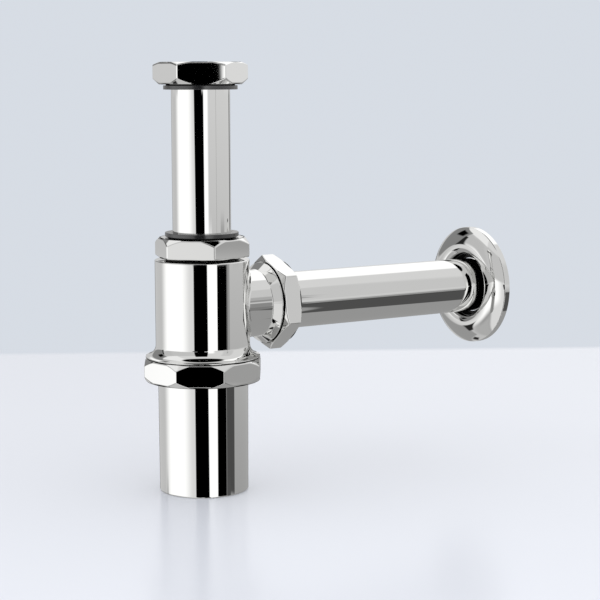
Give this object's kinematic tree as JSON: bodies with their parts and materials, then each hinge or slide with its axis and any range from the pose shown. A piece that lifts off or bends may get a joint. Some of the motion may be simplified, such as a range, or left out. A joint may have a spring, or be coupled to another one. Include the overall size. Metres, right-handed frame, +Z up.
{
  "type": "bottle trap",
  "caption": "Chromed bottle trap for a wash basin: screw-on cup, barrel body with side branch, nut-held dip tube inlet, outlet tube and sliding wall rosette.",
  "frame": {"origin": "centre of the cup's flat base, on the vertical axis", "axes": "+Z up along the inlet tube, +X along the outlet towards the wall"},
  "size_m": [0.2315, 0.07, 0.2358],
  "materials": {
    "chrome": "polished chrome plate on brass",
    "dark_plastic": "dark grey moulded plastic, slightly glossy",
    "washer_plastic": "natural white slip washer",
    "rubber": "black sealing rubber"
  },
  "bodies": {
    "trap_body": {"trap_body": "chrome", "body_seal": "rubber", "outlet_seal": "rubber"},
    "cup": {"cup": "chrome", "cup_gasket": "rubber"},
    "cup_nut": {"cup_nut": "chrome"},
    "body_gland": {"body_gland_ring": "dark_plastic", "body_slip_washer": "washer_plastic"},
    "body_nut": {"body_nut": "chrome"},
    "inlet_tube": {"inlet_tube": "chrome"},
    "inlet_gland": {"inlet_gland_ring": "dark_plastic", "inlet_slip_washer": "washer_plastic", "inlet_seal": "rubber"},
    "inlet_nut": {"inlet_nut": "chrome"},
    "outlet_gland": {"outlet_slip_washer": "washer_plastic"},
    "outlet_nut": {"outlet_nut": "chrome"},
    "outlet_tube": {"outlet_tube": "chrome"},
    "wall_rosette": {"wall_rosette": "chrome"}
  },
  "joints": [
    {"name": "cup_drop", "type": "slide", "parent": "trap_body", "child": "cup", "axis": [0, 0, -1], "range_m": [0, 0.006]},
    {"name": "cup_nut_turn", "type": "hinge", "parent": "cup", "child": "cup_nut", "pos_m": [0, 0, 0.068], "axis": [0, 0, -1], "range_deg": [0, 1080]},
    {"name": "body_gland_lift", "type": "slide", "parent": "trap_body", "child": "body_gland", "axis": [0, 0, 1], "range_m": [0, 0.0035]},
    {"name": "body_nut_turn", "type": "hinge", "parent": "body_gland", "child": "body_nut", "pos_m": [0, 0, 0.13525], "axis": [0, 0, 1], "range_deg": [0, 540]},
    {"name": "inlet_tube_slide", "type": "slide", "parent": "trap_body", "child": "inlet_tube", "axis": [0, 0, 1], "range_m": [-0.02, 0.03]},
    {"name": "inlet_gland_slide", "type": "slide", "parent": "inlet_tube", "child": "inlet_gland", "axis": [0, 0, 1], "range_m": [-0.045, 0]},
    {"name": "inlet_nut_turn", "type": "hinge", "parent": "inlet_gland", "child": "inlet_nut", "pos_m": [0, 0, 0.22975], "axis": [0, 0, 1], "continuous": true},
    {"name": "outlet_gland_slide", "type": "slide", "parent": "trap_body", "child": "outlet_gland", "axis": [1, 0, 0], "range_m": [0, 0.0035]},
    {"name": "outlet_nut_turn", "type": "hinge", "parent": "outlet_gland", "child": "outlet_nut", "pos_m": [0.04475, 0, 0.1017], "axis": [1, 0, 0], "range_deg": [0, 540]},
    {"name": "outlet_tube_slide", "type": "slide", "parent": "trap_body", "child": "outlet_tube", "axis": [1, 0, 0], "range_m": [-0.008, 0.01]},
    {"name": "rosette_slide", "type": "slide", "parent": "outlet_tube", "child": "wall_rosette", "axis": [1, 0, 0], "range_m": [-0.1, 0]}
  ],
  "couplings": [
    {"joint": "cup_drop", "follows": "cup_nut_turn", "m_per_rad": 0.0003183},
    {"joint": "body_gland_lift", "follows": "body_nut_turn", "m_per_rad": 0.00036749},
    {"joint": "outlet_gland_slide", "follows": "outlet_nut_turn", "m_per_rad": 0.00036749}
  ]
}
